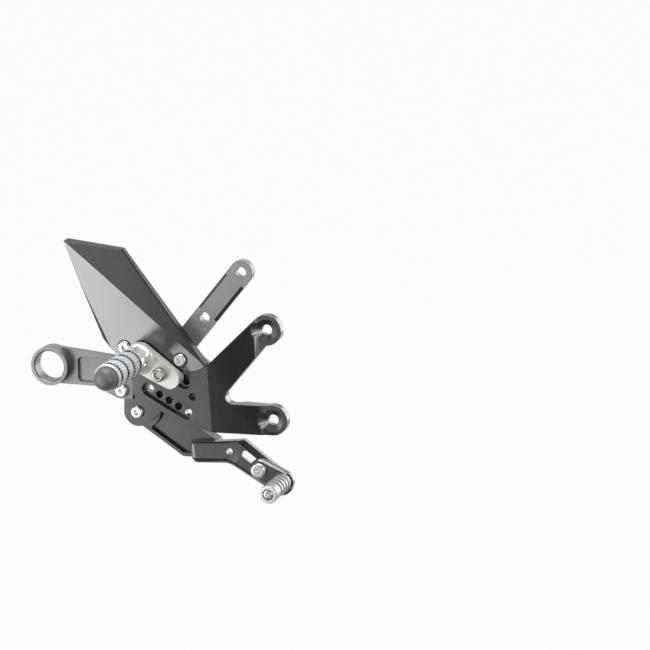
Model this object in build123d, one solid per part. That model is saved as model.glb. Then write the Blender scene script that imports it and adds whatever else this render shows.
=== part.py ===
"""Rear-set footrest for the right-hand, brake side of a motorcycle.

Frame: X points to the front of the motorcycle, Z up, and outward is -Y.
The origin lies on the mounting face, halfway between the two frame bolts.
Depths are given as outward distances from that mounting face, in millimetres.
"""
from build123d import *
import os
from math import atan2, cos, degrees, radians, sin, tan

# Frame bolts and the bosses around them
MOUNT_SPACING = 74.0
MOUNT_LEAN = 4.0
MOUNT_HOLE_R = 4.25
BOSS_R = 12.5
BOSS_DEPTH = 8.0
BOLT_SINK_R = 9.0
BOLT_SINK_DEPTH = 2.8

# Main bracket
PLATE_REAR = 3.0
PLATE_FRONT = 14.0
BEND_BEHIND_BOLTS = 50.0
SHOULDER_BEHIND_BOLTS = 6.5
SHOULDER_DEPTH = 9.8
SHOULDER_RUN = 3.6
REAR_STEP_BEHIND_BOLTS = 24.0
ARM_ROOT_TOP = (-50.5, 6.0)
ARM_NOTCH = (-42.0, -25.0)
ARM_NOTCH_FILLET = 6.0
PLATE_HEEL_X = -47.0
PLATE_EDGE_LOW = (-70.5, -44.3)
PLATE_LEFT_X = -127.0
PLATE_TOP_Z = 22.0
PLATE_TOP_CORNER_X = -72.0
SINGLE_HOLE = (-62.9, -21.2)

# Two sloping rows of tapped holes for the peg carrier
ROW_SLOPE = 28.0
ROW_PITCH = 9.2
ROW_HOLES = 5
LOWER_ROW = (-62.0, -63.0)
UPPER_ROW = (-75.5, -41.0)
ROW_POCKET_WIDTH = 11.0
ROW_POCKET_DEPTH = 3.5
ROW_TO_LOWER_EDGE = 11.0

# Fasteners
M6_R = 3.0
M6_HEAD_R = 5.3
M6_HEAD_H = 3.3
M6_HEX = 4.0
M5_R = 2.5
M5_HEAD_R = 4.6
M5_HEAD_H = 2.8
M5_HEX = 3.0
SOCKET_DEPTH = 2.0
HEAD_ROUND = 1.6
THREAD_FIT = 0.06
BOLT_CLEARANCE = 0.3
SEAT_GAP = 0.15

# Heel guard
GUARD_REAR = 8.5
GUARD_RIDGE_DEPTH = 18.5
GUARD_TIP = (-170.3, 101.5)
GUARD_TOP_CORNER = (-121.5, 96.8)
GUARD_LOW_CORNER = (-50.5, 6.4)
GUARD_SEAM_LOW = (-62.5, 1.0)
GUARD_SEAM_END = (-76.0, 3.0)
GUARD_NOTCH_TOP = (-105.0, 18.0)
GUARD_FOOT_RIGHT_X = -114.0
GUARD_FOOT_LEFT_X = -128.0
GUARD_FOOT_Z = 9.5
GUARD_LEFT_CORNER = (-140.6, 20.5)
GUARD_LEFT_SLOPE = 6.3
GUARD_RIGHT_SLOPE = 8.3
GUARD_SCREW_RIGHT = (-71.8, 9.8)
GUARD_SCREW_LEFT = (-120.5, 16.0)
GUARD_SEAT_R = 6.0
GUARD_SEAT_SINK = 0.8
GUARD_BAND_START = 0.38
GUARD_BAND_WIDTH = 5.0
GUARD_BAND_FALL = 3.5
GUARD_EDGE_CHAMFER = 1.2

# Silencer hanger
HANGER_FRONT = 14.0
HANGER_REAR = 8.5
RING_CENTRE = (-183.7, -3.2)
RING_R = 16.0
RING_BORE_R = 12.5
RING_SHOULDER = 0.6
RING_FRONT = 21.5
RING_BORE_CHAMFER = 1.0
EAR_RIGHT_X = -114.2
EAR_TOP_Z = 7.5
HANGER_WAIST = (-147.0, -18.8)
HANGER_SCREW_LOW = (-123.4, -20.5)
HANGER_SCREW_HIGH = (-121.0, -1.5)
EAR_CORNER_R = 7.0
HANGER_POCKET_R = 3.0
HANGER_POCKET_DEPTH = 2.5
HANGER_POCKET_X = (-158.5, -135.0)
HANGER_POCKET_Z = (-12.8, 1.4)

# Peg carrier, placed along and across the rows of holes
CARRIER_FACE = 26.0
CARRIER_OVERHANG_REAR = 18.3
CARRIER_KEY_DEPTH = 3.0
CARRIER_KEY_FIT = 0.15
CARRIER_NOSE = (-67.0, -40.8)
CARRIER_NOSE_R = 8.2
CARRIER_BOSS_R = 11.5
CARRIER_PAD_END = (-91.0, -41.0)
CARRIER_PAD_R = 6.5
CARRIER_SCREW_STEP = 0
CARRIER_SCREW_HEAD_R = 5.6
CARRIER_SCREW_HEAD_H = 6.5
CARRIER_SCREW_HEX = 6.0
CARRIER_KEY_STEPS = 2
FORK_NECK_R = 11.0
FORK_FLARE = 4.0

# Folding peg and its hinge
PEG_AXIS = (-97.8, -39.6)
PIN_DEPTH = 36.0
PIN_R = 3.0
PIN_HEAD_R = 4.6
PIN_HEAD_H = 1.8
PIN_SEAT_R = 5.4
PIN_FIT = 0.06
CLIP_GROOVE_R = 2.3
CLIP_THICKNESS = 1.0
CLIP_R = 5.0
PIN_END = 1.5
FORK_SLOT = 10.0
EAR_THICKNESS = 4.0
FORK_EAR_R = 8.0
FORK_STOP = 11.0
HINGE_GAP = 0.4
PEG_STOP_GAP = 0.2
TONGUE_SIDE_GAP = 0.3
PEG_R = 11.5
PEG_LENGTH = 48.5
PEG_GROOVES = 4
PEG_FIRST_GROOVE = 1.4
PEG_GROOVE_PITCH = 13.4
PEG_GROOVE_WIDTH = 3.0
PEG_GROOVE_R = 8.4
PEG_BARB = 0.7
PEG_NOSE = 1.5
SLIDER_R = 9.5
SLIDER_DEPTH = 10.0
SLIDER_ROUND = 8.0
SLIDER_LEDGE = 0.6
SLIDER_STUD_R = 4.0
SLIDER_STUD_LENGTH = 14.0

# Brake lever, behind the bracket's lug
PIVOT = (-111.0, -38.0)
LUG_R = 12.0
LUG_FRONT = 12.0
LUG_FLARE = (-91.0, -36.5)
PIVOT_R = 4.0
PIVOT_HEAD_R = 5.2
PIVOT_HEAD_H = 3.0
PIVOT_HEX = 4.5
PIVOT_FIT = 0.06
BUSH_R = 6.0
WASHER_R = 9.0
WASHER_THICKNESS = 0.8
NUT_AF = 13.0
NUT_H = 6.5
BOLT_END = 1.5
LEVER_THICKNESS = 12.0
LEVER_EYE_R = 12.0
LEVER_RIM = 3.0
LEVER_POCKET_DEPTH = 3.6
LEVER_POCKET_START = 4.5
LEVER_POCKET_END_X = -68.0
LEVER_PAD_TOP = (-62.0, -50.5)
LEVER_PAD_RIGHT_X = -46.0
LEVER_PAD_RIGHT_TOP_Z = -59.5
LEVER_PAD_LEFT_X = -76.0
LEVER_PAD_LOW_Z = -75.0
ROD_EYE = (-127.0, -21.0)
ROD_EYE_R = 7.0
ROD_TAB_ROOT_R = 9.6
ROD_HOLE_R = 3.0
ROD_TAB_THICKNESS = 7.0

# Toe plate on the lever's front end
TOE_PLATE_THICKNESS = 8.0
TOE_PLATE_TOP_LEFT = (-68.0, -61.2)
TOE_PLATE_LOW_LEFT = (-66.0, -78.0)
TOE_PLATE_TOP_BEND = (-21.5, -55.2)
TOE_PLATE_LOW_BEND = (-34.7, -75.6)
TOE_PLATE_BEND_FILLET = 16.0
TOE_PLATE_CORNER_R = 5.0
TOE_PLATE_END = (9.6, -89.4)
TOE_PLATE_END_R = 9.6
TOE_PLATE_CHAMFER = 1.2
TOE_PLATE_LEFT_CHAMFER = 3.0
TOE_PLATE_HOLE = (-33.5, -65.3)
TOE_PLATE_HOLE_R = 2.8
TOE_PLATE_SCREWS = ((-59.3, -66.6), (-50.6, -65.6))

# Adjustable toe peg
CLAMP = (-5.9, -76.6)
SLOT_SLOPE = 35.5
SLOT_BACK = 17.0
SLOT_FORE = 7.0
SLOT_CLEARANCE = 0.25
NUT_GROOVE_WIDTH = 10.6
NUT_GROOVE_DEPTH = 4.4
NUT_SIDE_GAP = 0.3
NUT_PLATE_LENGTH = 12.0
LINK_SPAN = 21.3
LINK_ANGLE = -23.0
LINK_THICKNESS = 6.0
LINK_R = 8.6
CLAMP_HEAD_R = 6.2
CLAMP_HEAD_H = 3.4
TOE_PEG_R = 7.4
TOE_PEG_LENGTH = 37.0
TOE_PEG_GROOVES = 4
TOE_PEG_GROOVE_R = 5.9
TOE_PEG_GROOVE_WIDTH = 2.4
TOE_PEG_ROUND = 1.6
TOE_SCREW_HEAD_R = 4.2
TOE_SCREW_HEAD_H = 4.6

# Bracket for the brake's master cylinder
CYLINDER_SPACING = 50.0
CYLINDER_LOW_HOLE = (-56.1, 42.5)
CYLINDER_SLOPE = 51.7
CYLINDER_HOLE_R = 4.2
CYLINDER_ARM_R = 9.5
CYLINDER_ARM_THICKNESS = 8.0
CYLINDER_REACH = 32.0
CYLINDER_FOOT_HIGH = (-80.0, 13.0)
CYLINDER_FOOT_LEFT = (-95.0, -19.0)
CYLINDER_FOOT_R = 8.5
CYLINDER_FOOT_LOW = ((-92.0, -25.5), (-78.0, -32.5))
CYLINDER_FOOT_LOW_R = 5.8
CYLINDER_BAND_WIDTH = 2.4
CYLINDER_BAND_SPAN = (4.0, 41.0)

OUTWARD = (0, -1, 0)
CORNER_R = 0.5
NEAR = 0.01


def turned(point, slope):
    """X and Z of a point given along and across a line that falls forward by slope degrees."""
    along, across = point
    c = cos(radians(slope))
    s = sin(radians(slope))
    return (along * c + across * s, across * c - along * s)


def plane_at(slope, depth=0.0, point=(0.0, 0.0)):
    """Sketch plane facing outward, with its x axis falling forward by slope degrees."""
    c = cos(radians(slope))
    s = sin(radians(slope))
    return Plane(origin=(point[0], -depth, point[1]), x_dir=(c, 0, -s), z_dir=OUTWARD)


def slab(profile, inner, outer, slope=0.0):
    """Solid between two outward depths."""
    return extrude(plane_at(slope, inner) * profile, amount=outer - inner)


def disc(point, radius):
    return Pos(*point) * Circle(radius)


def rod(point, radius, inner, outer):
    return slab(disc(point, radius), inner, outer)


def hull(*shapes):
    """Outline stretched round discs and polygons."""
    edges = ShapeList()
    for shape in shapes:
        edges += shape.edges()
    return make_hull(edges)


def outline(*points):
    return make_face(Polyline(*points, close=True))


def dot(point):
    """Very small disc that pins a corner of a hull to a point."""
    return disc(point, CORNER_R)


def rim(solid, depth):
    """Edges of a solid that lie flat at one outward depth."""
    return [e for e in solid.edges() if abs(e.bounding_box().min.Y + depth) < NEAR
            and abs(e.bounding_box().max.Y + depth) < NEAR]


def round_head(point, radius, height, seat, hex_size):
    """Button head with a hexagon socket, standing on its seat."""
    head = rod(point, radius, seat, seat + height)
    head = fillet(rim(head, seat + height), HEAD_ROUND)
    socket = Pos(*point) * RegularPolygon(hex_size / 2, 6, major_radius=False)
    return head - slab(socket, seat + height - SOCKET_DEPTH, seat + height)


def button_screw(point, seat, tip, radius=M6_R, head_r=M6_HEAD_R, head_h=M6_HEAD_H, hex_size=M6_HEX):
    """Screw whose head stands on the outward face at the seat."""
    return round_head(point, head_r, head_h, seat, hex_size) + rod(point, radius, tip, seat)


def rear_screw(point, seat, tip, radius, head_r, head_h, hex_size):
    """Screw put in from behind, with its head inward of the seat."""
    head = rod(point, head_r, seat - head_h, seat)
    head = chamfer(rim(head, seat - head_h), head_h / 4)
    socket = Pos(*point) * RegularPolygon(hex_size / 2, 6, major_radius=False)
    head -= slab(socket, seat - head_h, seat - head_h + SOCKET_DEPTH)
    return head + rod(point, radius, seat, tip)


# Places that several pieces share
EAR_BOTTOM_Z = HANGER_SCREW_LOW[1] - EAR_CORNER_R
UPPER_BOLT = (-sin(radians(MOUNT_LEAN)) * MOUNT_SPACING / 2, cos(radians(MOUNT_LEAN)) * MOUNT_SPACING / 2)
LOWER_BOLT = (-UPPER_BOLT[0], -UPPER_BOLT[1])
ROW_SPAN = ROW_PITCH * (ROW_HOLES - 1)
CARRIER_SCREW = turned((UPPER_ROW[0] + ROW_PITCH * CARRIER_SCREW_STEP, UPPER_ROW[1]), ROW_SLOPE)
POCKET_FLOOR = PLATE_FRONT - ROW_POCKET_DEPTH
LEVER_FRONT = PLATE_REAR - WASHER_THICKNESS - SEAT_GAP
LEVER_REAR = LEVER_FRONT - LEVER_THICKNESS
TOE_PLATE_FRONT = LEVER_FRONT + TOE_PLATE_THICKNESS
LINK_REAR = TOE_PLATE_FRONT + SEAT_GAP
LINK_FRONT = LINK_REAR + LINK_THICKNESS
TOE_AXIS = (CLAMP[0] + LINK_SPAN * cos(radians(LINK_ANGLE)), CLAMP[1] + LINK_SPAN * sin(radians(LINK_ANGLE)))
CYLINDER_REAR = PLATE_REAR - CYLINDER_ARM_THICKNESS
CYLINDER_RUN = (cos(radians(CYLINDER_SLOPE)), sin(radians(CYLINDER_SLOPE)))
CYLINDER_HIGH_HOLE = (CYLINDER_LOW_HOLE[0] + CYLINDER_SPACING * CYLINDER_RUN[0],
                      CYLINDER_LOW_HOLE[1] + CYLINDER_SPACING * CYLINDER_RUN[1])
CYLINDER_KNEE = (CYLINDER_LOW_HOLE[0] - CYLINDER_REACH * CYLINDER_RUN[0],
                 CYLINDER_LOW_HOLE[1] - CYLINDER_REACH * CYLINDER_RUN[1])
FORK_HALF = FORK_SLOT / 2 + EAR_THICKNESS
PEG_START = PIN_DEPTH + FORK_EAR_R + HINGE_GAP + PEG_STOP_GAP
PEG_END = PEG_START + PEG_LENGTH


def guard_outline(grow=0.0):
    """Outline of the heel guard, with a curved lower seam, grown evenly for its recess."""
    seam = ThreePointArc(GUARD_LOW_CORNER, GUARD_SEAM_LOW, GUARD_SEAM_END)
    rest = Polyline(GUARD_SEAM_END, GUARD_NOTCH_TOP, (GUARD_FOOT_RIGHT_X, GUARD_FOOT_Z),
                    (GUARD_FOOT_LEFT_X, GUARD_FOOT_Z), GUARD_LEFT_CORNER, GUARD_TIP, GUARD_TOP_CORNER,
                    GUARD_LOW_CORNER)
    face = make_face([seam, *rest.edges()])
    if grow:
        face = offset(face, grow, kind=Kind.INTERSECTION)
    return face


def row_holes(row):
    """Hole places of one sloping row."""
    return [(row[0] + ROW_PITCH * (k - (ROW_HOLES - 1) / 2), row[1]) for k in range(ROW_HOLES)]


def make_main_bracket():
    boss_low_z = LOWER_BOLT[1] - BOSS_R
    corner = BOSS_R * sin(radians(45))
    upper_tangent = (UPPER_BOLT[0] - corner, UPPER_BOLT[1] + corner)
    upper_arm = outline(ARM_ROOT_TOP, upper_tangent, UPPER_BOLT, (UPPER_BOLT[0], UPPER_BOLT[1] - BOSS_R),
                        ARM_NOTCH)
    lower_arm = outline(ARM_NOTCH, (LOWER_BOLT[0], ARM_NOTCH[1]), (LOWER_BOLT[0], boss_low_z),
                        (PLATE_HEEL_X, boss_low_z))
    edge_across = LOWER_ROW[1] - ROW_TO_LOWER_EDGE
    edge_right = turned((LOWER_ROW[0] - ROW_PITCH, edge_across), ROW_SLOPE)
    edge_left = turned((LOWER_ROW[0] - ROW_SPAN, edge_across), ROW_SLOPE)
    plate = outline(ARM_ROOT_TOP, ARM_NOTCH, (PLATE_HEEL_X, boss_low_z), PLATE_EDGE_LOW, edge_right,
                    edge_left, (PLATE_LEFT_X, PIVOT[1] + LUG_R), (PLATE_LEFT_X, PLATE_TOP_Z),
                    (PLATE_TOP_CORNER_X, PLATE_TOP_Z))
    lug = hull(disc(PIVOT, LUG_R), dot((PLATE_LEFT_X + LUG_R / 2, EAR_BOTTOM_Z)), dot(LUG_FLARE),
               dot(edge_left))
    shape = plate + upper_arm + lower_arm + lug + disc(UPPER_BOLT, BOSS_R) + disc(LOWER_BOLT, BOSS_R)
    notch = [v for v in shape.vertices() if (Vector(v.X, v.Y) - Vector(*ARM_NOTCH)).length < NEAR]
    shape = fillet(notch, ARM_NOTCH_FILLET)
    bracket = slab(shape, 0, PLATE_FRONT)

    # The front falls towards the bolts and steps down to the boss faces; the back is relieved
    reach = 3 * MOUNT_SPACING
    across = Plane(origin=(0, 0, 0), x_dir=(cos(radians(MOUNT_LEAN)), 0, sin(radians(MOUNT_LEAN))),
                   z_dir=(-sin(radians(MOUNT_LEAN)), 0, cos(radians(MOUNT_LEAN))))
    shoulder = -SHOULDER_BEHIND_BOLTS
    bend = -BEND_BEHIND_BOLTS
    front_cut = outline((bend, -PLATE_FRONT), (shoulder - SHOULDER_RUN, -SHOULDER_DEPTH),
                        (shoulder, -BOSS_DEPTH), (reach, -BOSS_DEPTH), (reach, -2 * PLATE_FRONT),
                        (bend, -2 * PLATE_FRONT))
    step = -REAR_STEP_BEHIND_BOLTS
    rear_cut = outline((-reach, -PLATE_REAR), (step - PLATE_REAR, -PLATE_REAR), (step, 0),
                       (step, PLATE_FRONT), (-reach, PLATE_FRONT))
    for cut in (front_cut, rear_cut):
        bracket -= extrude(across * cut, amount=reach, both=True)

    # Frame bolt holes, with wide countersinks that run out into the arms
    sink_taper = degrees(atan2(BOLT_SINK_R - MOUNT_HOLE_R, BOLT_SINK_DEPTH))
    sink_floor = BOSS_DEPTH - BOLT_SINK_DEPTH
    for bolt in (UPPER_BOLT, LOWER_BOLT):
        bracket -= rod(bolt, MOUNT_HOLE_R, 0, PLATE_FRONT)
        mouth = plane_at(0, sink_floor, bolt) * Circle(MOUNT_HOLE_R)
        bracket -= extrude(mouth, amount=PLATE_FRONT - sink_floor, taper=-sink_taper)

    # Lug face, seats of the hanger and the heel guard
    pivot_along = turned(PIVOT, -ROW_SLOPE)[0]
    lug_half = Pos(pivot_along, edge_across - LUG_R * 2) * Rectangle(LUG_R * 6, LUG_R * 4)
    bracket -= slab(lug_half, LUG_FRONT, PLATE_FRONT, ROW_SLOPE)
    ear_room = Pos((PLATE_LEFT_X + EAR_RIGHT_X) / 2 - LUG_R + SEAT_GAP, (GUARD_FOOT_Z + EAR_BOTTOM_Z) / 2)
    ear_room *= Rectangle(EAR_RIGHT_X - PLATE_LEFT_X + 2 * LUG_R, GUARD_FOOT_Z - EAR_BOTTOM_Z + 2 * SEAT_GAP)
    bracket -= slab(ear_room, HANGER_REAR, PLATE_FRONT)
    bracket -= slab(guard_outline(SEAT_GAP), GUARD_REAR, PLATE_FRONT)

    # Two rows of tapped holes in shallow pockets, and the tapped holes for the other screws
    for row in (LOWER_ROW, UPPER_ROW):
        pocket = Pos(*row) * SlotCenterToCenter(ROW_SPAN, ROW_POCKET_WIDTH)
        bracket -= slab(pocket, POCKET_FLOOR, PLATE_FRONT, ROW_SLOPE)
        for place in row_holes(row):
            bracket -= slab(disc(place, M6_R + THREAD_FIT), PLATE_REAR, PLATE_FRONT, ROW_SLOPE)
    tapped = (GUARD_SCREW_LEFT, GUARD_SCREW_RIGHT, HANGER_SCREW_LOW, HANGER_SCREW_HIGH, SINGLE_HOLE,
              CYLINDER_FOOT_HIGH)
    for place in tapped:
        bracket -= rod(place, M6_R + THREAD_FIT, 0, PLATE_FRONT)
    bracket -= rod(PIVOT, PIVOT_R + PIVOT_FIT, 0, PLATE_FRONT)
    return bracket


def guard_front(point):
    """Depth of the heel guard's wide left facet at a point."""
    run = Vector(GUARD_LOW_CORNER[0] - GUARD_TIP[0], GUARD_LOW_CORNER[1] - GUARD_TIP[1]).normalized()
    off_ridge = run.X * (GUARD_TIP[1] - point[1]) - run.Y * (GUARD_TIP[0] - point[0])
    return GUARD_RIDGE_DEPTH - off_ridge * tan(radians(GUARD_LEFT_SLOPE))


def guard_point(point, fall=0.0):
    """Point on the left facet, or below it by the fall."""
    return Vector(point[0], fall - guard_front(point), point[1])


def make_heel_guard():
    """Plate with two facets that meet in a ridge from the tip to the low corner."""
    top = GUARD_RIDGE_DEPTH * 2
    guard = slab(guard_outline(), GUARD_REAR, top)
    run = Vector(GUARD_LOW_CORNER[0] - GUARD_TIP[0], GUARD_LOW_CORNER[1] - GUARD_TIP[1])
    slope = degrees(atan2(-run.Y, run.X))
    c = cos(radians(slope))
    s = sin(radians(slope))
    section = Plane(origin=(GUARD_TIP[0], 0, GUARD_TIP[1]), x_dir=(s, 0, c), z_dir=(-c, 0, s))
    wide = run.length
    left_fall = wide * tan(radians(GUARD_LEFT_SLOPE))
    right_fall = wide * tan(radians(GUARD_RIGHT_SLOPE))
    roof = outline((-wide, left_fall - GUARD_RIDGE_DEPTH), (0, -GUARD_RIDGE_DEPTH),
                   (wide, right_fall - GUARD_RIDGE_DEPTH), (wide, -2 * top), (-wide, -2 * top))
    guard -= extrude(section * roof, amount=2 * wide, both=True)

    # Flat band along the left edge, from nothing part of the way down to its full width at the corner
    share = 1 - GUARD_BAND_START
    start = guard_point((GUARD_LEFT_CORNER[0] + share * (GUARD_TIP[0] - GUARD_LEFT_CORNER[0]),
                         GUARD_LEFT_CORNER[1] + share * (GUARD_TIP[1] - GUARD_LEFT_CORNER[1])))
    band_end = guard_point((GUARD_LEFT_CORNER[0] + GUARD_BAND_WIDTH, GUARD_LEFT_CORNER[1]))
    edge_end = guard_point(GUARD_LEFT_CORNER, GUARD_BAND_FALL)
    across = (band_end - start).cross(edge_end - start)
    if across.Y > 0:
        across = -across
    band = Plane(origin=start, x_dir=band_end - start, z_dir=across)
    guard = split(guard, bisect_by=band, keep=Keep.BOTTOM)

    # Broken edges on the top and right sides, then the screw seats
    corner = Vector(GUARD_TOP_CORNER[0], GUARD_TOP_CORNER[1])
    edges = [e for e in guard.edges() if e.bounding_box().max.Y < NEAR - GUARD_REAR - GUARD_EDGE_CHAMFER
             and any((Vector(v.X, v.Z) - corner).length < NEAR for v in e.vertices())]
    sides = [e for e in edges if abs(e.vertices()[0].Z - e.vertices()[-1].Z) > NEAR]
    guard = chamfer(sides, GUARD_EDGE_CHAMFER)
    for place in (GUARD_SCREW_LEFT, GUARD_SCREW_RIGHT):
        seat = guard_front(place) - GUARD_SEAT_SINK
        guard -= rod(place, GUARD_SEAT_R, seat, top)
        guard -= rod(place, M6_R + BOLT_CLEARANCE, GUARD_REAR, top)
    return guard


def make_heel_guard_screws():
    places = (GUARD_SCREW_LEFT, GUARD_SCREW_RIGHT)
    return [button_screw(place, guard_front(place) - GUARD_SEAT_SINK, PLATE_REAR) for place in places]


def make_hanger_arm():
    """Ring eye, tapering arm with a shallow pocket, and the ear that is screwed to the bracket."""
    neck = RING_R - RING_SHOULDER
    low_corner = (HANGER_SCREW_LOW[0] - EAR_CORNER_R / 2, EAR_BOTTOM_Z)
    ring_top = (RING_CENTRE[0], RING_CENTRE[1] + neck)
    ring_low = (RING_CENTRE[0], RING_CENTRE[1] - neck)
    shape = outline(ring_top, (low_corner[0], EAR_TOP_Z), (EAR_RIGHT_X, EAR_TOP_Z),
                    (EAR_RIGHT_X, EAR_BOTTOM_Z), low_corner, HANGER_WAIST, ring_low)
    bend = [v for v in shape.vertices() if (Vector(v.X, v.Y) - Vector(*low_corner)).length < NEAR]
    shape = fillet(bend, EAR_CORNER_R)
    ring = disc(RING_CENTRE, RING_R)
    hanger = slab(shape, HANGER_REAR, HANGER_FRONT) + slab(ring, HANGER_REAR, RING_FRONT)
    corners = [(x, z) for x in HANGER_POCKET_X for z in HANGER_POCKET_Z]
    pocket = hull(*[disc(corner, HANGER_POCKET_R) for corner in corners])
    hanger -= slab(pocket, HANGER_FRONT - HANGER_POCKET_DEPTH, HANGER_FRONT)
    hanger -= rod(RING_CENTRE, RING_BORE_R, HANGER_REAR, RING_FRONT)
    mouth = [e for e in hanger.edges().filter_by(GeomType.CIRCLE) if abs(e.radius - RING_BORE_R) < NEAR]
    hanger = chamfer(mouth, RING_BORE_CHAMFER)
    for place in (HANGER_SCREW_LOW, HANGER_SCREW_HIGH):
        hanger -= rod(place, M6_R + BOLT_CLEARANCE, HANGER_REAR, HANGER_FRONT)
    return hanger


def make_hanger_screws():
    return [button_screw(place, HANGER_FRONT, PLATE_REAR) for place in (HANGER_SCREW_LOW, HANGER_SCREW_HIGH)]


def fork_side(inner, outer):
    """Section of the fork across the pin: round on the folding side, square on the stop side."""
    foot = outline((-FORK_STOP, inner), (CARRIER_BOSS_R, inner), (FORK_EAR_R, inner + FORK_FLARE),
                   (FORK_EAR_R, PIN_DEPTH), (0, PIN_DEPTH), (0, outer), (-FORK_STOP, outer))
    return foot + Pos(0, PIN_DEPTH) * Circle(FORK_EAR_R)


def hinge_plane(offset_along=0.0):
    """Plane across the hinge pin at a distance along the pin from the peg's axis; y is outward."""
    along = PEG_AXIS[0] + offset_along
    x, z = turned((along, PEG_AXIS[1]), ROW_SLOPE)
    s = sin(radians(ROW_SLOPE))
    c = cos(radians(ROW_SLOPE))
    return Plane(origin=(x, 0, z), x_dir=(s, 0, c), z_dir=(c, 0, -s))


def peg_plane():
    """Plane through the peg's axis; x is the distance from the axis and y is outward."""
    x, z = turned(PEG_AXIS, ROW_SLOPE)
    return Plane(origin=(x, 0, z), x_dir=(1, 0, 0), z_dir=(0, 0, -1))


def make_peg_carrier():
    nose = disc(CARRIER_NOSE, CARRIER_NOSE_R)
    pad = hull(nose, disc(CARRIER_PAD_END, CARRIER_PAD_R))
    band = Pos(UPPER_ROW[0], UPPER_ROW[1] + CARRIER_PAD_R - ROW_SPAN / 2)
    band *= Rectangle(3 * ROW_SPAN, ROW_SPAN)
    plate = hull(nose, disc(PEG_AXIS, CARRIER_BOSS_R))
    carrier = slab(pad & band, PLATE_FRONT, CARRIER_FACE, ROW_SLOPE)
    carrier += slab(plate, CARRIER_OVERHANG_REAR, CARRIER_FACE, ROW_SLOPE)
    key_span = ROW_PITCH * CARRIER_KEY_STEPS
    key_middle = UPPER_ROW[0] + ROW_PITCH * CARRIER_SCREW_STEP - key_span / 2
    key = Pos(key_middle, UPPER_ROW[1]) * SlotCenterToCenter(key_span, ROW_POCKET_WIDTH - 2 * CARRIER_KEY_FIT)
    carrier += slab(key, PLATE_FRONT - CARRIER_KEY_DEPTH, PLATE_FRONT, ROW_SLOPE)

    # Round neck that flares into the face, cut to the fork's section and slotted for the tongue
    fork_top = PEG_START - PEG_STOP_GAP
    flare_r = FORK_NECK_R + FORK_FLARE
    flare = Pos(flare_r / 2, CARRIER_FACE + FORK_FLARE / 2) * Rectangle(flare_r, FORK_FLARE)
    flare -= Pos(flare_r, CARRIER_FACE + FORK_FLARE) * Circle(FORK_FLARE)
    axis = Axis(peg_plane().origin, OUTWARD)
    neck = revolve(peg_plane() * flare, axis)
    neck += rod(turned(PEG_AXIS, ROW_SLOPE), FORK_NECK_R, CARRIER_FACE, fork_top)
    section = fork_side(CARRIER_FACE, fork_top)
    neck &= extrude(hinge_plane() * section, amount=flare_r, both=True)
    carrier += neck & slab(plate, CARRIER_FACE, fork_top, ROW_SLOPE)
    slot_floor = PIN_DEPTH - FORK_EAR_R
    slot = Pos(0, (slot_floor + PEG_END) / 2) * Rectangle(4 * FORK_EAR_R, PEG_END - slot_floor)
    carrier -= extrude(hinge_plane() * slot, amount=FORK_SLOT / 2, both=True)
    pin_bore = Pos(0, PIN_DEPTH) * Circle(PIN_R + PIN_FIT)
    carrier -= extrude(hinge_plane() * pin_bore, amount=2 * FORK_HALF, both=True)

    # Flat seats for the pin's head and ring
    pin_seat = Pos(0, PIN_DEPTH) * Circle(PIN_SEAT_R)
    carrier -= extrude(hinge_plane(FORK_HALF) * pin_seat, amount=FORK_NECK_R)
    carrier -= extrude(hinge_plane(-FORK_HALF) * pin_seat, amount=-FORK_NECK_R)
    return carrier - rod(CARRIER_SCREW, M6_R + BOLT_CLEARANCE, 0, CARRIER_FACE)


def make_carrier_screw():
    """Socket cap screw that stands on the carrier's face."""
    return button_screw(CARRIER_SCREW, CARRIER_FACE, PLATE_REAR, head_r=CARRIER_SCREW_HEAD_R,
                        head_h=CARRIER_SCREW_HEAD_H, hex_size=CARRIER_SCREW_HEX)


def make_foot_peg():
    """Turned peg with barbed rings, and a flat tongue that hinges in the fork."""
    profile = [(0, PEG_START), (PEG_R, PEG_START)]
    for k in range(PEG_GROOVES):
        inner = PEG_START + PEG_FIRST_GROOVE + PEG_GROOVE_PITCH * k
        outer = inner + PEG_GROOVE_WIDTH
        profile += [(PEG_R, inner), (PEG_GROOVE_R, inner), (PEG_GROOVE_R, outer), (PEG_R - PEG_BARB, outer)]
    profile += [(PEG_R, PEG_END - PEG_NOSE), (SLIDER_R + SLIDER_LEDGE, PEG_END), (0, PEG_END)]
    body = revolve(peg_plane() * outline(*profile), Axis(peg_plane().origin, OUTWARD))
    tongue_half = FORK_SLOT / 2 - TONGUE_SIDE_GAP
    tongue_r = FORK_EAR_R - HINGE_GAP
    tongue = Pos(0, PIN_DEPTH) * Circle(tongue_r)
    tongue += Pos(0, (PIN_DEPTH + PEG_START) / 2) * Rectangle(2 * tongue_r, PEG_START - PIN_DEPTH)
    body += extrude(hinge_plane() * tongue, amount=tongue_half, both=True)
    bore = Pos(0, PIN_DEPTH) * Circle(PIN_R + PIN_FIT)
    body -= extrude(hinge_plane() * bore, amount=FORK_HALF, both=True)
    place = turned(PEG_AXIS, ROW_SLOPE)
    return body - rod(place, SLIDER_STUD_R + THREAD_FIT, PEG_END - SLIDER_STUD_LENGTH, PEG_END)


def make_peg_end_slider():
    """Domed plastic end with the stud that screws into the peg."""
    place = turned(PEG_AXIS, ROW_SLOPE)
    dome = rod(place, SLIDER_R, PEG_END, PEG_END + SLIDER_DEPTH)
    dome = fillet(rim(dome, PEG_END + SLIDER_DEPTH), SLIDER_ROUND)
    return dome + rod(place, SLIDER_STUD_R, PEG_END - SLIDER_STUD_LENGTH, PEG_END)


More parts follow.
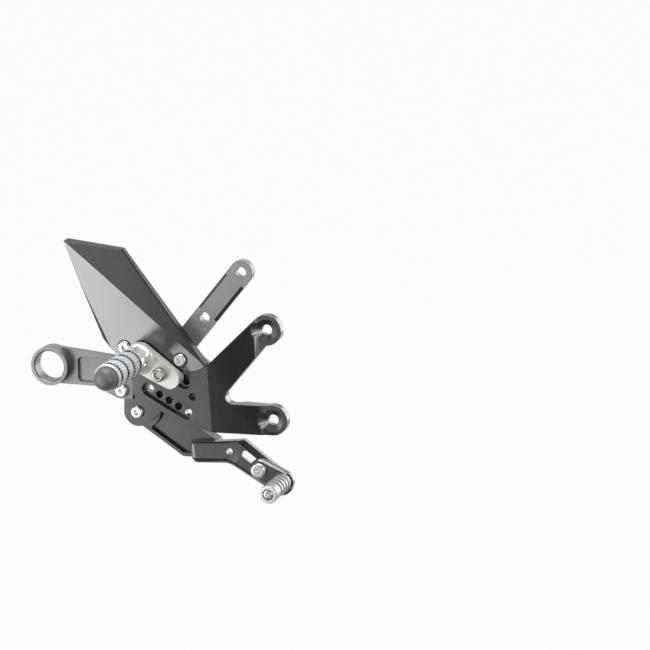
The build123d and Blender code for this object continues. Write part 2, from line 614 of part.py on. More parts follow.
def make_peg_hinge_pin():
    """Headed pin through both ears of the fork, grooved for its retaining ring."""
    shank = Pos(0, PIN_DEPTH) * Circle(PIN_R)
    head = Pos(0, PIN_DEPTH) * Circle(PIN_HEAD_R)
    end = FORK_HALF + SEAT_GAP + CLIP_THICKNESS + PIN_END
    pin = extrude(hinge_plane(-end) * shank, amount=end + FORK_HALF)
    pin += extrude(hinge_plane(FORK_HALF) * head, amount=PIN_HEAD_H)
    groove = Pos(0, PIN_DEPTH) * (Circle(PIN_HEAD_R) - Circle(CLIP_GROOVE_R))
    return pin - extrude(hinge_plane(-FORK_HALF - SEAT_GAP - CLIP_THICKNESS) * groove, amount=CLIP_THICKNESS)


def make_hinge_pin_clip():
    """Open retaining ring in the pin's groove."""
    ring = Circle(CLIP_R) - Circle(CLIP_GROOVE_R + THREAD_FIT)
    ring -= Pos(0, -CLIP_R) * Rectangle(CLIP_GROOVE_R, 2 * CLIP_R)
    place = hinge_plane(-FORK_HALF - SEAT_GAP - CLIP_THICKNESS + THREAD_FIT)
    return extrude(place * Pos(0, PIN_DEPTH) * ring, amount=CLIP_THICKNESS - 2 * THREAD_FIT)


def lever_outline():
    pad = outline(LEVER_PAD_TOP, (LEVER_PAD_RIGHT_X, LEVER_PAD_RIGHT_TOP_Z),
                  (LEVER_PAD_RIGHT_X, LEVER_PAD_LOW_Z), (LEVER_PAD_LEFT_X, LEVER_PAD_LOW_Z))
    return hull(disc(PIVOT, LEVER_EYE_R), pad)


def make_brake_lever():
    """Pocketed arm from the pivot eye to the pad of the toe plate, with a tab for the push rod."""
    shape = lever_outline()
    lever = slab(shape, LEVER_REAR, LEVER_FRONT)
    window = Pos((PIVOT[0] + LEVER_POCKET_END_X) / 2, PIVOT[1])
    window *= Rectangle(LEVER_POCKET_END_X - PIVOT[0], 8 * LEVER_EYE_R)
    pocket = offset(shape, -LEVER_RIM) & window
    pocket -= disc(PIVOT, LEVER_EYE_R + LEVER_POCKET_START)
    pocket = fillet(pocket.vertices(), LEVER_RIM / 2)
    lever -= slab(pocket, LEVER_FRONT - LEVER_POCKET_DEPTH, LEVER_FRONT)
    tab = hull(disc(PIVOT, ROD_TAB_ROOT_R), disc(ROD_EYE, ROD_EYE_R))
    lever += slab(tab, LEVER_REAR, LEVER_REAR + ROD_TAB_THICKNESS)
    lever -= rod(ROD_EYE, ROD_HOLE_R, LEVER_REAR, LEVER_FRONT)
    lever -= rod(PIVOT, BUSH_R + THREAD_FIT, LEVER_REAR, LEVER_FRONT)
    for place in TOE_PLATE_SCREWS:
        lever -= rod(place, M5_R + BOLT_CLEARANCE, LEVER_REAR, LEVER_FRONT)
        lever -= rod(place, M5_HEAD_R + BOLT_CLEARANCE, LEVER_REAR, LEVER_REAR + M5_HEAD_H)
    return lever


def make_lever_pivot_bush():
    bush = rod(PIVOT, BUSH_R, LEVER_REAR, LEVER_FRONT)
    return bush - rod(PIVOT, PIVOT_R + PIVOT_FIT, LEVER_REAR, LEVER_FRONT)


def pivot_washer(inner):
    outer = inner + WASHER_THICKNESS
    return rod(PIVOT, WASHER_R, inner, outer) - rod(PIVOT, PIVOT_R + PIVOT_FIT, inner, outer)


def make_lever_thrust_washers():
    rear = LEVER_REAR - SEAT_GAP - WASHER_THICKNESS
    return [pivot_washer(PLATE_REAR - WASHER_THICKNESS), pivot_washer(rear)]


def make_lever_pivot_bolt():
    tip = LEVER_REAR - SEAT_GAP - WASHER_THICKNESS - NUT_H - BOLT_END
    return button_screw(PIVOT, LUG_FRONT, tip, PIVOT_R, PIVOT_HEAD_R, PIVOT_HEAD_H, PIVOT_HEX)


def make_lever_pivot_nut():
    outer = LEVER_REAR - SEAT_GAP - WASHER_THICKNESS
    shape = Pos(*PIVOT) * RegularPolygon(NUT_AF / 2, 6, major_radius=False)
    return slab(shape, outer - NUT_H, outer) - rod(PIVOT, PIVOT_R + THREAD_FIT, outer - NUT_H, outer)


def slot_middle():
    """Centre of the slot, on the line through the clamp screw."""
    shift = (SLOT_FORE - SLOT_BACK) / 2
    along = turned((shift, 0), SLOT_SLOPE)
    return (CLAMP[0] + along[0], CLAMP[1] + along[1])


def make_toe_plate():
    """Front plate of the lever: bent downward, with a slot for the toe peg's clamp."""
    straight = outline(TOE_PLATE_TOP_LEFT, TOE_PLATE_TOP_BEND, TOE_PLATE_LOW_BEND, TOE_PLATE_LOW_LEFT)
    end = disc(TOE_PLATE_END, TOE_PLATE_END_R)
    bent = hull(outline(TOE_PLATE_TOP_BEND, TOE_PLATE_LOW_BEND, TOE_PLATE_END), end)
    shape = straight + bent
    rounds = {TOE_PLATE_LOW_BEND: TOE_PLATE_BEND_FILLET, TOE_PLATE_LOW_LEFT: TOE_PLATE_CORNER_R}
    for place, radius in rounds.items():
        corner = [v for v in shape.vertices() if (Vector(v.X, v.Y) - Vector(*place)).length < NEAR]
        shape = fillet(corner, radius)
    plate = slab(shape, LEVER_FRONT, TOE_PLATE_FRONT)
    left_edge = min(rim(plate, TOE_PLATE_FRONT), key=lambda e: e.center().X)
    plate = chamfer(left_edge, TOE_PLATE_LEFT_CHAMFER)
    plate = chamfer(rim(plate, TOE_PLATE_FRONT), TOE_PLATE_CHAMFER)
    slot_plane = plane_at(SLOT_SLOPE, LEVER_FRONT, slot_middle())
    span = SLOT_BACK + SLOT_FORE
    slot = SlotCenterToCenter(span, 2 * (M6_R + SLOT_CLEARANCE))
    plate -= extrude(slot_plane * slot, amount=TOE_PLATE_THICKNESS)
    groove = Rectangle(span + NUT_PLATE_LENGTH + 2 * NUT_SIDE_GAP, NUT_GROOVE_WIDTH)
    plate -= extrude(slot_plane * groove, amount=NUT_GROOVE_DEPTH)
    plate -= rod(TOE_PLATE_HOLE, TOE_PLATE_HOLE_R, LEVER_FRONT, TOE_PLATE_FRONT)
    for place in TOE_PLATE_SCREWS:
        plate -= rod(place, M5_R + THREAD_FIT, LEVER_FRONT, TOE_PLATE_FRONT - TOE_PLATE_CHAMFER)
    return plate


def make_toe_plate_screws():
    seat = LEVER_REAR + M5_HEAD_H
    tip = TOE_PLATE_FRONT - TOE_PLATE_CHAMFER
    return [rear_screw(place, seat, tip, M5_R, M5_HEAD_R, M5_HEAD_H, M5_HEX) for place in TOE_PLATE_SCREWS]


def make_toe_link():
    shape = hull(disc(CLAMP, LINK_R), disc(TOE_AXIS, LINK_R))
    link = slab(shape, LINK_REAR, LINK_FRONT)
    link = chamfer(rim(link, LINK_FRONT), TOE_PLATE_CHAMFER)
    link -= rod(CLAMP, M6_R + BOLT_CLEARANCE, LINK_REAR, LINK_FRONT)
    return link - rod(TOE_AXIS, M6_R + THREAD_FIT, LINK_REAR, LINK_FRONT)


def make_toe_clamp_screw():
    seat = LINK_FRONT + SEAT_GAP
    return button_screw(CLAMP, seat, LEVER_FRONT, head_r=CLAMP_HEAD_R, head_h=CLAMP_HEAD_H)


def make_toe_clamp_nut():
    """Flat nut that slides in the groove behind the slot."""
    place = plane_at(SLOT_SLOPE, LEVER_FRONT, CLAMP)
    nut = extrude(place * Rectangle(NUT_PLATE_LENGTH, NUT_GROOVE_WIDTH - 2 * NUT_SIDE_GAP),
                  amount=NUT_GROOVE_DEPTH - NUT_SIDE_GAP)
    return nut - rod(CLAMP, M6_R + THREAD_FIT, LEVER_FRONT, TOE_PLATE_FRONT)


def make_toe_peg():
    """Grooved sleeve, recessed at its end for the screw."""
    end = LINK_FRONT + TOE_PEG_LENGTH
    peg = rod(TOE_AXIS, TOE_PEG_R, LINK_FRONT, end)
    peg = fillet(rim(peg, end), TOE_PEG_ROUND)
    pitch = TOE_PEG_LENGTH / (TOE_PEG_GROOVES + 2)
    ring = disc(TOE_AXIS, 2 * TOE_PEG_R) - disc(TOE_AXIS, TOE_PEG_GROOVE_R)
    for k in range(TOE_PEG_GROOVES):
        middle = LINK_FRONT + pitch * (k + 1)
        peg -= slab(ring, middle - TOE_PEG_GROOVE_WIDTH / 2, middle + TOE_PEG_GROOVE_WIDTH / 2)
    peg -= rod(TOE_AXIS, M6_R + BOLT_CLEARANCE, LINK_FRONT, end)
    return peg - rod(TOE_AXIS, TOE_SCREW_HEAD_R + BOLT_CLEARANCE, end - TOE_SCREW_HEAD_H, end)


def make_toe_peg_screw():
    end = LINK_FRONT + TOE_PEG_LENGTH
    return button_screw(TOE_AXIS, end - TOE_SCREW_HEAD_H, LINK_REAR, head_r=TOE_SCREW_HEAD_R,
                        head_h=TOE_SCREW_HEAD_H)


def make_master_cylinder_bracket():
    """Flat arm with two holes, and a foot screwed to the back of the main bracket."""
    arm = hull(disc(CYLINDER_KNEE, CYLINDER_ARM_R), disc(CYLINDER_HIGH_HOLE, CYLINDER_ARM_R))
    foot = hull(disc(CYLINDER_FOOT_HIGH, CYLINDER_FOOT_R), disc(SINGLE_HOLE, CYLINDER_FOOT_R),
                disc(CYLINDER_FOOT_LEFT, CYLINDER_FOOT_R / 2),
                *[disc(place, CYLINDER_FOOT_LOW_R) for place in CYLINDER_FOOT_LOW])
    bracket = slab(arm + foot, CYLINDER_REAR, PLATE_REAR)

    # Flat bands cut along both sides of the arm between its holes
    along = Vector(CYLINDER_RUN[0], 0, CYLINDER_RUN[1])
    start = Vector(CYLINDER_LOW_HOLE[0], 0, CYLINDER_LOW_HOLE[1]) + along * CYLINDER_BAND_SPAN[0]
    section = Plane(origin=start, x_dir=(along.Z, 0, -along.X), z_dir=along)
    inner = CYLINDER_ARM_R - CYLINDER_BAND_WIDTH
    for side in (-1, 1):
        band = outline((side * inner, -PLATE_REAR), (side * CYLINDER_ARM_R, CYLINDER_BAND_WIDTH - PLATE_REAR),
                       (side * CYLINDER_ARM_R, -PLATE_REAR))
        bracket -= extrude(section * band, amount=CYLINDER_BAND_SPAN[1] - CYLINDER_BAND_SPAN[0])
    for place in (CYLINDER_LOW_HOLE, CYLINDER_HIGH_HOLE):
        bracket -= rod(place, CYLINDER_HOLE_R, CYLINDER_REAR, PLATE_REAR)
    for place in (SINGLE_HOLE, CYLINDER_FOOT_HIGH):
        bracket -= rod(place, M6_R + BOLT_CLEARANCE, CYLINDER_REAR, PLATE_REAR)
    return bracket


def make_master_cylinder_bracket_screws():
    tip = PLATE_FRONT - 2 * SOCKET_DEPTH - M6_HEAD_H
    return [rear_screw(place, CYLINDER_REAR, tip, M6_R, M6_HEAD_R, M6_HEAD_H, M6_HEX)
            for place in (SINGLE_HOLE, CYLINDER_FOOT_HIGH)]


PIECES = {
    "main_bracket": make_main_bracket,
    "heel_guard": make_heel_guard,
    "heel_guard_screws": make_heel_guard_screws,
    "hanger_arm": make_hanger_arm,
    "hanger_screws": make_hanger_screws,
    "peg_carrier": make_peg_carrier,
    "carrier_screw": make_carrier_screw,
    "foot_peg": make_foot_peg,
    "peg_end_slider": make_peg_end_slider,
    "peg_hinge_pin": make_peg_hinge_pin,
    "hinge_pin_clip": make_hinge_pin_clip,
    "brake_lever": make_brake_lever,
    "lever_pivot_bush": make_lever_pivot_bush,
    "lever_thrust_washers": make_lever_thrust_washers,
    "lever_pivot_bolt": make_lever_pivot_bolt,
    "lever_pivot_nut": make_lever_pivot_nut,
    "toe_plate": make_toe_plate,
    "toe_plate_screws": make_toe_plate_screws,
    "toe_link": make_toe_link,
    "toe_clamp_screw": make_toe_clamp_screw,
    "toe_clamp_nut": make_toe_clamp_nut,
    "toe_peg": make_toe_peg,
    "toe_peg_screw": make_toe_peg_screw,
    "master_cylinder_bracket": make_master_cylinder_bracket,
    "master_cylinder_bracket_screws": make_master_cylinder_bracket_screws,
}

os.makedirs("parts", exist_ok=True)
for name, make in PIECES.items():
    shape = make()
    if isinstance(shape, list):
        shape = Compound(children=shape)
    export_step(shape, f"parts/{name}.step")
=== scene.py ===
import bmesh
import bpy
from math import inf, radians
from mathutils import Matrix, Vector


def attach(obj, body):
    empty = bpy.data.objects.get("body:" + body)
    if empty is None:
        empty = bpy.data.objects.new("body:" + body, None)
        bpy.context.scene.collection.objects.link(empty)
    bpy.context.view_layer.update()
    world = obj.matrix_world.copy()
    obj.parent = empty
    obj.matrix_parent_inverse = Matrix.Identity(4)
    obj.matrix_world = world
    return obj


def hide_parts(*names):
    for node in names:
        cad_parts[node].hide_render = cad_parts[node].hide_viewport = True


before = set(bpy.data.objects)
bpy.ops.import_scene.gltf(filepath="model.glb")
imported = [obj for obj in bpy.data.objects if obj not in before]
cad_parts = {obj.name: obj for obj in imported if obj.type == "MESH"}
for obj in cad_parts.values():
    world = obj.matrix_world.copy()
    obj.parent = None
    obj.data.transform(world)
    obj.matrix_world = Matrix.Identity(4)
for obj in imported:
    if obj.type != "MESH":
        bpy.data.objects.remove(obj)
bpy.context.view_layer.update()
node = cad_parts
bpy.ops.object.select_all(action="DESELECT")


# The main bracket is milled from thick aluminium plate, and carries everything else.
# It is bead-blasted and anodised black, so its skin has a fine even grain.
# Its sharp corners are broken by hand and the dye is thinner there, and its countersinks are duller.
class Sock:
    """One socket of a material's nodes; sums and products of sockets add Math nodes."""

    # Places of the two colours, and of their blend, among the sockets of a Mix node
    COLOUR_A = 6
    COLOUR_B = 7
    COLOUR_BLEND = 2

    def __init__(self, tree, out=None):
        self.tree = tree
        self.out = out

    def add(self, kind, settings, inputs, take=0):
        """Adds a node, sets its settings, then the values or links of its inputs."""
        made = self.tree.nodes.new(kind)
        for name, value in settings.items():
            setattr(made, name, value)
        for name, value in inputs.items():
            if isinstance(value, Sock):
                self.tree.links.new(value.out, made.inputs[name])
            else:
                made.inputs[name].default_value = value
        return Sock(self.tree, made.outputs[take])

    def maths(self, operation, first, second):
        """Adds a Math node on two sockets or numbers."""
        return self.add("ShaderNodeMath", {"operation": operation}, {0: first, 1: second})

    def __add__(self, other):
        return self.maths("ADD", self, other)

    __radd__ = __add__

    def __sub__(self, other):
        return self.maths("SUBTRACT", self, other)

    def __rsub__(self, other):
        return self.maths("SUBTRACT", other, self)

    def __mul__(self, other):
        return self.maths("MULTIPLY", self, other)

    __rmul__ = __mul__

    def noise(self, scale, detail, stretch=(1, 1, 1)):
        """Noise on the object's own coordinates, stretched along its axes."""
        place = self.add("ShaderNodeTexCoord", {}, {}, "Object")
        place = self.add("ShaderNodeMapping", {}, {"Vector": place, "Scale": stretch})
        return self.add("ShaderNodeTexNoise", {}, {"Vector": place, "Scale": scale, "Detail": detail}, "Fac")

    def clipped(self, low, high):
        """The socket's range from low to high, spread over 0 to 1."""
        return self.add("ShaderNodeMapRange", {"clamp": True},
                        {"Value": self, "From Min": low, "From Max": high}, "Result")

    def swing(self, amount):
        """Noise as a swing about zero, of that amount from its lowest to its highest."""
        return (self - 0.5) * amount

    def tint(self, start, end):
        """A colour between two plain ones, by this socket."""
        return self.over((*start, 1), end)

    def over(self, colour, top):
        """A second colour laid over a first, by this socket."""
        return self.add("ShaderNodeMix", {"data_type": "RGBA"},
                        {"Factor": self, self.COLOUR_A: colour, self.COLOUR_B: (*top, 1)}, self.COLOUR_BLEND)

    def bump(self, strength, depth, **more):
        """Normal of a skin with this socket as its height, and more inputs by name."""
        return self.add("ShaderNodeBump", {},
                        {"Height": self, "Strength": strength, "Distance": depth, **more})


def new_finish(name):
    """A material with its shader and an empty socket to start from."""
    finish = bpy.data.materials.new(name)
    finish.use_nodes = True
    return finish, finish.node_tree.nodes["Principled BSDF"], Sock(finish.node_tree)


def feed(shader, start, **links):
    """Links sockets to the shader's inputs of those names."""
    for name, value in links.items():
        start.tree.links.new(value.out, shader.inputs[name.replace("_", " ")])


def broken(start, radius):
    """Normal of a skin whose edges are rounded by that radius."""
    return start.add("ShaderNodeBevel", {"samples": 6}, {"Radius": radius}, "Normal")


def rubbed(start, radius):
    """How near a point lies to an edge, from 0 to 1."""
    true = start.add("ShaderNodeNewGeometry", {}, {}, "Normal")
    along = start.add("ShaderNodeVectorMath", {"operation": "DOT_PRODUCT"},
                      {0: broken(start, radius), 1: true}, "Value")
    return (1 - along).clipped(low=0.01, high=0.12)


NOISE_MIDDLE = (0.3, 0.7)
WORN_WIDTH = 0.0006
WORN_LEAST = 0.3
WORN_CLOUD = 0.5
THICK_DYE = 0.8
THIN_DYE = 1.25
CLOUD_SHARE = 0.55
OXIDE_IOR = 1.7


def anodised(name, dye, pale, gloss, mirror=1.0):
    """Blasted and dyed alloy: cloudy dye, fine grain, paler worn edges and the mirror of its oxide."""
    finish, shader, start = new_finish(name)
    edge = rubbed(start, WORN_WIDTH)
    cloud = start.noise(scale=40, detail=3)
    grain = start.noise(scale=2600, detail=2)
    dark = [v * THICK_DYE for v in dye]
    light = [v * THIN_DYE for v in dye]
    colour = (cloud * CLOUD_SHARE + grain * (1 - CLOUD_SHARE)).clipped(*NOISE_MIDDLE).tint(dark, light)
    colour = (edge * (WORN_LEAST + cloud * WORN_CLOUD)).over(colour, pale)
    feed(shader, start, Base_Color=colour, Roughness=gloss + cloud.swing(0.08) + grain.swing(0.06),
         Normal=grain.bump(strength=0.06, depth=0.0003))
    shader.inputs["IOR"].default_value = OXIDE_IOR
    shader.inputs["Specular IOR Level"].default_value = mirror
    return finish


EDGE = 0.0003
EDGE_STEPS = 3
MERGE_WITHIN = 2e-5
FLAT_WITHIN = radians(0.5)
SMOOTH_WITHIN = radians(12)
BREAK_FROM = radians(60)
WIDE_FLAT = 4e-5


def broken_edges(name, body, finish, cutter=None):
    """Copy of a milled solid, cut by a cutter if there is one, with its sharp edges rounded."""
    mesh = node[name].data.copy()
    piece = bpy.data.objects.new(name + "_soft", mesh)
    bpy.context.scene.collection.objects.link(piece)
    bpy.context.view_layer.objects.active = piece
    piece.select_set(True)
    bpy.ops.object.mode_set(mode="EDIT")
    bpy.ops.mesh.select_all(action="SELECT")
    bpy.ops.mesh.remove_doubles(threshold=MERGE_WITHIN)
    bpy.ops.mesh.dissolve_limited(angle_limit=FLAT_WITHIN)
    bpy.ops.object.mode_set(mode="OBJECT")
    if cutter:
        cut = piece.modifiers.new("cut", "BOOLEAN")
        cut.object = cutter
        bpy.ops.object.modifier_apply(modifier="cut")
        bpy.data.objects.remove(cutter)
    bpy.ops.object.shade_smooth_by_angle(angle=SMOOTH_WITHIN)

    # Two wide flats meet in a crisp line, however shallow the bend between them
    skin = bmesh.new()
    skin.from_mesh(mesh)
    for line in skin.edges:
        if all(face.calc_area() > WIDE_FLAT for face in line.link_faces):
            line.smooth = False
    skin.to_mesh(mesh)
    skin.free()
    edge = piece.modifiers.new("broken_edge", "BEVEL")
    edge.width = EDGE
    edge.segments = EDGE_STEPS
    edge.limit_method = "ANGLE"
    edge.angle_limit = BREAK_FROM
    edge.use_clamp_overlap = False
    edge.face_strength_mode = "FSTR_ALL"
    bpy.ops.object.modifier_apply(modifier="broken_edge")
    flats = piece.modifiers.new("true_flats", "WEIGHTED_NORMAL")
    flats.mode = "CORNER_ANGLE"
    flats.use_face_influence = True
    flats.keep_sharp = True
    bpy.ops.object.modifier_apply(modifier="true_flats")
    piece.select_set(False)
    piece.data.materials.clear()
    piece.data.materials.append(finish)
    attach(piece, body)
    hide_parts(name)
    return piece


def second_finish(piece, finish, slant, depth=inf):
    """Another finish on the faces that turn outward within a slant, where 1 is square on.

    It goes no deeper than a depth from the piece's outer end.
    """
    least, most = slant
    piece.data.materials.append(finish)
    outer_end = min(spot.co.y for spot in piece.data.vertices)
    for face in piece.data.polygons:
        if least < -face.normal.y < most and face.center.y < outer_end + depth:
            face.material_index = 1


BLACK_DYE = (0.010, 0.0105, 0.012)
BLACK_PALE = (0.10, 0.10, 0.11)
COUNTERSINK_SLANT = (0.83, 0.905)
black_plate = anodised("black_anodised_plate", BLACK_DYE, BLACK_PALE, gloss=0.21)
countersink_finish = anodised("satin_black_countersink", BLACK_DYE, BLACK_PALE, gloss=0.33)
bracket = broken_edges("main_bracket", "bracket", black_plate)
second_finish(bracket, countersink_finish, COUNTERSINK_SLANT)


# The heel guard is a folded-looking plate of the same black alloy with a ridge across it.
# Two button-head screws of stainless steel hold it in a shallow recess of the bracket.
# Its faces have the bracket's sheen, and its cut sides are left matt.
SHADED_STEEL = 0.8


def bright_steel(name, colour, gloss):
    """Stainless steel as it comes from the screw machine, with faint handling marks."""
    finish, shader, start = new_finish(name)
    cloud = start.noise(scale=300, detail=3)
    marks = start.noise(scale=3000, detail=2)
    shaded = [v * SHADED_STEEL for v in colour]
    feed(shader, start, Base_Color=cloud.tint(shaded, colour), Roughness=gloss + cloud.swing(0.2),
         Normal=marks.bump(strength=0.08, depth=0.0002, Normal=broken(start, EDGE)))
    shader.inputs["Metallic"].default_value = 1.0
    return finish


def dress(name, finish):
    """Gives a solid its finish."""
    node[name].data.materials.clear()
    node[name].data.materials.append(finish)


CUT_SIDE_SLANT = (-0.5, 0.82)
cut_side_finish = anodised("matt_black_cut_side", BLACK_DYE, BLACK_PALE, gloss=0.5, mirror=0.3)
guard = broken_edges("heel_guard", "bracket", black_plate)
second_finish(guard, cut_side_finish, CUT_SIDE_SLANT)
steel = bright_steel("bright_steel", colour=(0.80, 0.81, 0.82), gloss=0.32)
dress("heel_guard_screws", steel)

# The silencer hanger is a thinner alloy arm with a ring for the rubber mount of the silencer.
# Its anodising is greyer and duller than the bracket's, and two screws fix its ear.
HANGER_DYE = (0.085, 0.085, 0.084)
HANGER_PALE = (0.2, 0.2, 0.21)
hanger_finish = anodised("grey_anodised_hanger", HANGER_DYE, HANGER_PALE, gloss=0.40)
broken_edges("hanger_arm", "bracket", hanger_finish)
dress("hanger_screws", steel)

# The master cylinder's bracket is a flat alloy bar with two holes, anodised a paler grey.
# Flats are milled along its sides; their colour is painted dark as painted shade, and they are left matt.
# It is screwed to the back of the main bracket from behind.
ARM_DYE = (0.17, 0.17, 0.172)
ARM_PALE = (0.3, 0.3, 0.31)
# Painted shade: the side flats get this dark colour, which stands in for their shading.
CUT_FLAT_PAINTED_SHADE = (0.03, 0.03, 0.031)
CUT_FLAT_SHADE_SLANT = (0.4, 0.92)
arm_finish = anodised("grey_anodised_arm", ARM_DYE, ARM_PALE, gloss=0.40)
cut_flat_painted_shade_finish = anodised("painted_shade_matt_cut_flat", CUT_FLAT_PAINTED_SHADE, BLACK_PALE, gloss=0.5, mirror=0.3)
arm = broken_edges("master_cylinder_bracket", "bracket", arm_finish)
second_finish(arm, cut_flat_painted_shade_finish, CUT_FLAT_SHADE_SLANT)
dress("master_cylinder_bracket_screws", steel)


# The peg carrier is milled from bright alloy and vibration-polished to a warm satin white.
# One socket screw holds it in the row of holes, with a key that fits the row's groove.
SHADED_ALLOY = 0.88
EVEN_LINES = (900, 900, 900)


def bright_alloy(name, colour, gloss, bare, lines):
    """Satin alloy, bare by a share, with faint tool lines that are finest along one way."""
    finish, shader, start = new_finish(name)
    cloud = start.noise(scale=60, detail=3)
    cuts = start.noise(scale=1, detail=3, stretch=lines)
    shaded = [v * SHADED_ALLOY for v in colour]
    tone = ((cloud + cuts) * 0.5).clipped(*NOISE_MIDDLE).tint(shaded, colour)
    feed(shader, start, Base_Color=tone, Roughness=gloss + cuts.swing(0.12),
         Normal=cuts.bump(strength=0.03, depth=0.0002))
    shader.inputs["Metallic"].default_value = bare
    return finish


carrier_finish = bright_alloy("satin_alloy_carrier", colour=(0.78, 0.76, 0.72), gloss=0.42, bare=0.4,
                              lines=EVEN_LINES)
broken_edges("peg_carrier", "bracket", carrier_finish)
dress("carrier_screw", bright_steel("dull_steel_screw", colour=(0.50, 0.49, 0.46), gloss=0.36))

# The folding peg is turned from bright alloy, with barbed rings that are cut into teeth to grip the boot.
# The sides of the rings that face outward are painted darker than their crests, as painted shade.
# It hinges on a steel pin in the carrier's fork, kept in by an open ring.
TEETH = 26
TOOTH_DEPTH = 0.0010
CUTTER_RADIUS = 0.0014
CUTTER_SIDES = 4
TURNED_LINES = (60, 2500, 60)
GROOVE_SHADE_SLANT = (0.7, 1.1)


def box_of(name):
    """Lower and upper corner of a solid."""
    spots = [spot.co for spot in node[name].data.vertices]
    return [Vector(pick(spot[k] for spot in spots) for k in range(3)) for pick in (min, max)]


dome_low, dome_high = box_of("peg_end_slider")
peg_low, peg_high = box_of("foot_peg")
peg_axis = (dome_low + dome_high) / 2
peg_radius = (peg_high.x - peg_low.x) / 2
cutter_height = peg_axis.z + peg_radius - TOOTH_DEPTH + CUTTER_RADIUS
bpy.ops.mesh.primitive_cylinder_add(
    vertices=CUTTER_SIDES, radius=CUTTER_RADIUS, depth=2 * (peg_high.y - peg_low.y),
    rotation=(radians(90), 0, 0), location=(peg_axis.x, peg_low.y, cutter_height))
cutter = bpy.context.object
bpy.ops.object.transform_apply(location=True, rotation=True, scale=True)
bpy.ops.object.mode_set(mode="EDIT")
bpy.ops.mesh.select_all(action="SELECT")
bpy.ops.mesh.spin(steps=TEETH - 1, dupli=True, angle=radians(360) * (TEETH - 1) / TEETH,
                  center=(peg_axis.x, 0, peg_axis.z), axis=(0, 1, 0))
bpy.ops.object.mode_set(mode="OBJECT")
cutter.select_set(False)
peg_finish = bright_alloy("turned_alloy_peg", colour=(0.76, 0.78, 0.80), gloss=0.40, bare=0.35,
                          lines=TURNED_LINES)
# Painted shade: the ring sides that face outward get this darker colour in place of their shadow.
groove_painted_shade_finish = bright_alloy("painted_shade_turned_groove", colour=(0.24, 0.25, 0.27), gloss=0.45, bare=0.6,
                             lines=TURNED_LINES)
peg = broken_edges("foot_peg", "peg", peg_finish, cutter)
second_finish(peg, groove_painted_shade_finish, GROOVE_SHADE_SLANT)
dress("peg_hinge_pin", steel)
dress("hinge_pin_clip", steel)

# The end slider is a dome of black nylon that wears in place of the peg when it touches down.
# It is turned from bar and screwed into the peg's end, with a fine satin skin.
NYLON_DARK = (0.075, 0.077, 0.078)
NYLON_LIGHT = (0.095, 0.097, 0.099)
NYLON_GLOSS = 0.48
slider_finish, shader, start = new_finish("black_nylon_slider")
cloud = start.noise(scale=90, detail=3)
grain = start.noise(scale=3500, detail=2)
feed(shader, start, Base_Color=cloud.tint(NYLON_DARK, NYLON_LIGHT),
     Roughness=NYLON_GLOSS + grain.swing(0.12), Normal=grain.bump(strength=0.06, depth=0.0002))
shader.inputs["Specular IOR Level"].default_value = 1.0
dress("peg_end_slider", slider_finish)

# The brake lever is milled from alloy with a pocket in its side, and anodised black as the bracket is.
# It turns on a bronze bush between two steel washers, on a bolt with a nut behind.
broken_edges("brake_lever", "lever", black_plate)
dress("lever_pivot_bush", bright_steel("plain_bronze_bush", colour=(0.50, 0.35, 0.18), gloss=0.4))
for name in ("lever_thrust_washers", "lever_pivot_bolt", "lever_pivot_nut"):
    dress(name, steel)

# The toe plate, of the same black alloy, lengthens the lever and is screwed to its pad from behind.
# A link on a clamp screw and a sliding flat nut sets the toe peg along the plate's slot.
broken_edges("toe_plate", "lever", black_plate)
broken_edges("toe_link", "toe_arm", black_plate)
for name in ("toe_plate_screws", "toe_clamp_screw", "toe_clamp_nut"):
    dress(name, steel)

# The toe peg is a short grooved sleeve of bright alloy, which the rider's toe presses.
# Its end is faced and painted paler than the sleeve, as painted light, and a socket screw sunk in it holds
# it to the link.
LIT_END_SLANT = (0.3, 1.1)
LIT_END_DEPTH = 0.0006
toe_finish = bright_alloy("turned_alloy_toe_peg", colour=(0.38, 0.38, 0.38), gloss=0.38, bare=0.7,
                          lines=TURNED_LINES)
# Painted light: the end face gets a paler colour than the sleeve, standing in for the light it catches.
painted_light_end_finish = bright_alloy("painted_light_faced_toe_peg_end", colour=(0.78, 0.78, 0.78), gloss=0.42, bare=0.2,
                          lines=EVEN_LINES)
toe_peg = broken_edges("toe_peg", "toe_arm", toe_finish)
second_finish(toe_peg, painted_light_end_finish, LIT_END_SLANT, LIT_END_DEPTH)
dress("toe_peg_screw", steel)

# The object is held up in front of a white sweep, over a white floor that takes its shadow.
# The floor starts behind the object, so the black faces mirror a dim room in front of it.
FLOOR_SIZE = 60.0
FLOOR_FRONT = 0.5
FLOOR_LEVEL = -0.8
FLOOR_COLOUR = (0.9, 0.9, 0.9, 1)
FLOOR_ROUGHNESS = 0.9
FLOOR_WHITENED = 0.96
floor_middle = (0, FLOOR_FRONT + FLOOR_SIZE / 2, FLOOR_LEVEL)
bpy.ops.mesh.primitive_plane_add(size=FLOOR_SIZE, location=floor_middle)
floor = bpy.context.object
floor.name = "floor"
floor_finish, shader, start = new_finish("white_floor")
shader.inputs["Base Color"].default_value = FLOOR_COLOUR
shader.inputs["Roughness"].default_value = FLOOR_ROUGHNESS
seen = start.add("ShaderNodeLightPath", {}, {}, "Is Camera Ray")
seen = seen + start.add("ShaderNodeLightPath", {}, {}, "Is Glossy Ray")
white = start.add("ShaderNodeEmission", {}, {"Strength": 1.0})
matt = Sock(floor_finish.node_tree, shader.outputs[0])
whitened = start.add("ShaderNodeMixShader", {}, {0: seen * FLOOR_WHITENED, 1: matt, 2: white})
surface = floor_finish.node_tree.nodes["Material Output"].inputs["Surface"]
floor_finish.node_tree.links.new(whitened.out, surface)
floor.data.materials.append(floor_finish)

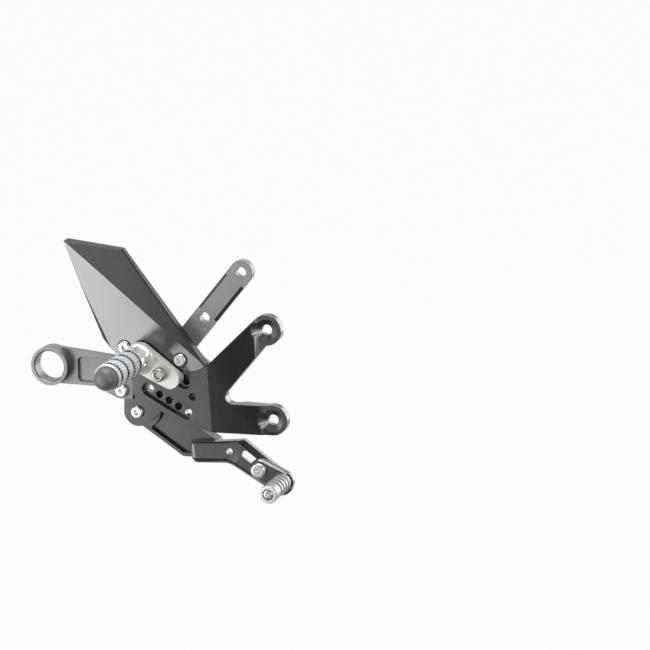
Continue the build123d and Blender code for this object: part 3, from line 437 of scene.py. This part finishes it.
# The studio is white behind the object and dim behind the camera.
# The camera itself sees white all round.
DIM_ROOM = 0.08
WHITE_BEHIND = (-0.1, 0.4)
world = bpy.data.worlds.new("studio")
bpy.context.scene.world = world
world.use_nodes = True
start = Sock(world.node_tree)
way = start.add("ShaderNodeTexCoord", {}, {}, "Generated")
depth = start.add("ShaderNodeSeparateXYZ", {}, {0: way}, "Y")
room = depth.clipped(*WHITE_BEHIND) * (1 - DIM_ROOM) + DIM_ROOM
ray = start.add("ShaderNodeLightPath", {}, {}, "Is Camera Ray")
level = ray + (1 - ray) * room
world.node_tree.links.new(level.out, world.node_tree.nodes["Background"].inputs["Strength"])
world.node_tree.nodes["Background"].inputs["Color"].default_value = (1, 1, 1, 1)


# One large softbox stands close by on the left, with a dim white card beside it.
# Smaller ones fill from above and from the right, and one behind draws the right-hand rims.
def stand(thing, place, aim):
    """Puts a lamp or the camera at a place, facing along aim."""
    bpy.context.scene.collection.objects.link(thing)
    thing.location = place
    thing.rotation_euler = Vector(aim).to_track_quat("-Z", "Y").to_euler()


# Watts that give each square metre of an area light a radiance of 1
WATTS_FOR_RADIANCE = 4


def softbox(name, place, aim, size, radiance):
    """Area light of a width and a height at a place, facing along aim."""
    width, height = size
    lamp = bpy.data.lights.new(name, "AREA")
    lamp.shape = "RECTANGLE"
    lamp.size = width
    lamp.size_y = height
    lamp.energy = radiance * WATTS_FOR_RADIANCE * width * height
    light = bpy.data.objects.new(name, lamp)
    light.visible_camera = False
    stand(light, place, aim)


softbox("left_softbox", place=(-0.86, -0.60, -0.15), aim=(0.2, 1.0, 0.0), size=(0.84, 0.9), radiance=3.5)
softbox("left_card", place=(-0.305, -0.66, -0.10), aim=(0.1, 1.0, 0.0), size=(0.25, 0.8), radiance=0.42)
softbox("top_softbox", place=(-0.1, -0.3, 1.4), aim=(0.1, 0.2, -1.0), size=(1.2, 1.0), radiance=4.5)
softbox("right_softbox", place=(0.78, -0.90, 0.22), aim=(-0.7, 0.72, -0.15), size=(0.4, 0.6), radiance=5.6)
softbox("rear_softbox", place=(0.75, 1.6, 0.15), aim=(-0.4, -0.9, -0.05), size=(1.2, 1.2), radiance=2.0)

# The camera stands where the photographer stood, a little to the right and above.
# A long lens keeps the near peg and the far arm in scale.
SENSOR_WIDTH = 36
PICTURE_PIXELS = 650
LENS_PIXELS = 3000
lens = bpy.data.cameras.new("camera")
lens.sensor_width = SENSOR_WIDTH
lens.lens = SENSOR_WIDTH * LENS_PIXELS / PICTURE_PIXELS
camera = bpy.data.objects.new("camera", lens)
stand(camera, place=(0.7376, -2.2015, 0.6101), aim=(-0.29174, 0.92627, -0.23857))
bpy.context.scene.camera = camera
bpy.context.scene.view_settings.view_transform = "Standard"
